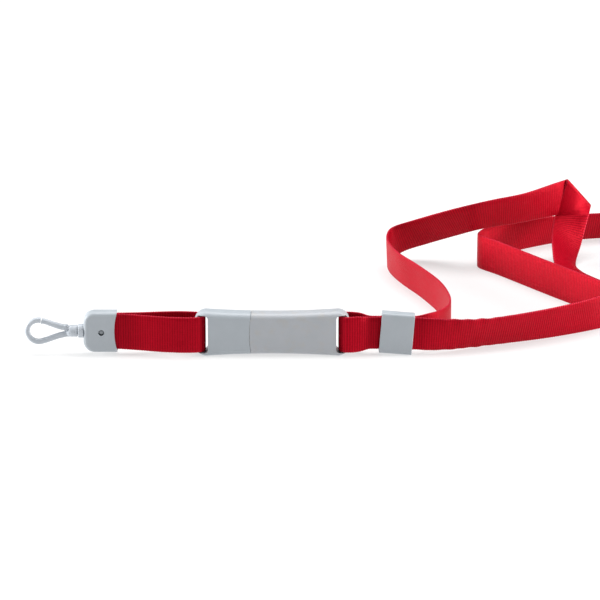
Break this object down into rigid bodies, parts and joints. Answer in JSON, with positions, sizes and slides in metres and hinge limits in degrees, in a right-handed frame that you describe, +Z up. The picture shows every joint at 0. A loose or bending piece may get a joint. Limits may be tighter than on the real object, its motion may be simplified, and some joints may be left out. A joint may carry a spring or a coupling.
{
  "type": "lanyard",
  "caption": "Woven neck lanyard with a sliding sleeve, an in-line USB drive with a pull-off cap, and a spring-gate hook that swivels on its end cap.",
  "frame": {"origin": "on the surface the lanyard stands on, below the middle of its row of fittings, from the hook's tip to the sleeve's far end", "axes": "+X along the fittings from the hook to the neck loop, +Z up, along the strap's width; Y = 0 is the middle plane of the drive"},
  "size_m": [0.3176, 0.1643, 0.0337],
  "materials": {
    "strap": "ribbed woven polyester webbing, red",
    "thread": "sewing thread, red",
    "silver_plastic": "satin silver-grey plastic",
    "hook_plastic": "satin pale silver paint",
    "black_plastic": "moulded black plastic",
    "plug_steel": "bright nickel plate",
    "pin_steel": "plain steel",
    "contact_gold": "gold plate",
    "board_green": "green solder mask",
    "chip_black": "black epoxy",
    "capacitor_tan": "ceramic",
    "led_white": "clear-topped, white"
  },
  "bodies": {
    "neck_loop": {"neck_strap": "strap", "strap_stitching": "thread"},
    "sleeve": {"sleeve": "silver_plastic"},
    "drive": {"body_front_shell": "silver_plastic", "body_rear_shell": "silver_plastic", "plug_shell": "plug_steel", "plug_tongue": "black_plastic", "plug_contacts": "contact_gold", "plug_carrier": "black_plastic", "circuit_board": "board_green", "flash_chip": "chip_black", "controller_chip": "chip_black", "crystal": "plug_steel", "capacitors": "capacitor_tan", "status_led": "led_white"},
    "cap": {"drive_cap": "silver_plastic", "cap_liner": "black_plastic"},
    "lower_strap": {"lower_strap": "strap", "end_cap": "silver_plastic", "retaining_pin": "pin_steel", "swivel_bush": "hook_plastic"},
    "hook": {"hook": "hook_plastic", "swivel_head": "pin_steel"},
    "gate": {"hook_gate": "hook_plastic"}
  },
  "joints": [
    {"name": "sleeve_slide", "type": "slide", "parent": "neck_loop", "child": "sleeve", "axis": [1, 0, 0], "range_m": [-0.003, 0.0005]},
    {"name": "drive_swing", "type": "hinge", "parent": "neck_loop", "child": "drive", "pos_m": [0.0507, 0, 0.0093], "axis": [0, 0, 1], "range_deg": [-35, 35]},
    {"name": "cap_pull", "type": "slide", "parent": "drive", "child": "cap", "axis": [-1, 0, 0], "range_m": [0, 0.014]},
    {"name": "lower_strap_swing", "type": "hinge", "parent": "cap", "child": "lower_strap", "pos_m": [-0.0087, 0, 0.0093], "axis": [0, 0, 1], "range_deg": [-30, 30]},
    {"name": "hook_swivel", "type": "hinge", "parent": "lower_strap", "child": "hook", "pos_m": [-0.055, 0, 0.0098], "axis": [1, 0, 0], "continuous": true},
    {"name": "gate_hinge", "type": "hinge", "parent": "hook", "child": "gate", "pos_m": [-0.0616, 0, 0.01115], "axis": [0, -1, 0], "range_deg": [0, 20], "stiffness_Nm_per_rad": 0.004, "springref_deg": -14.32}
  ]
}
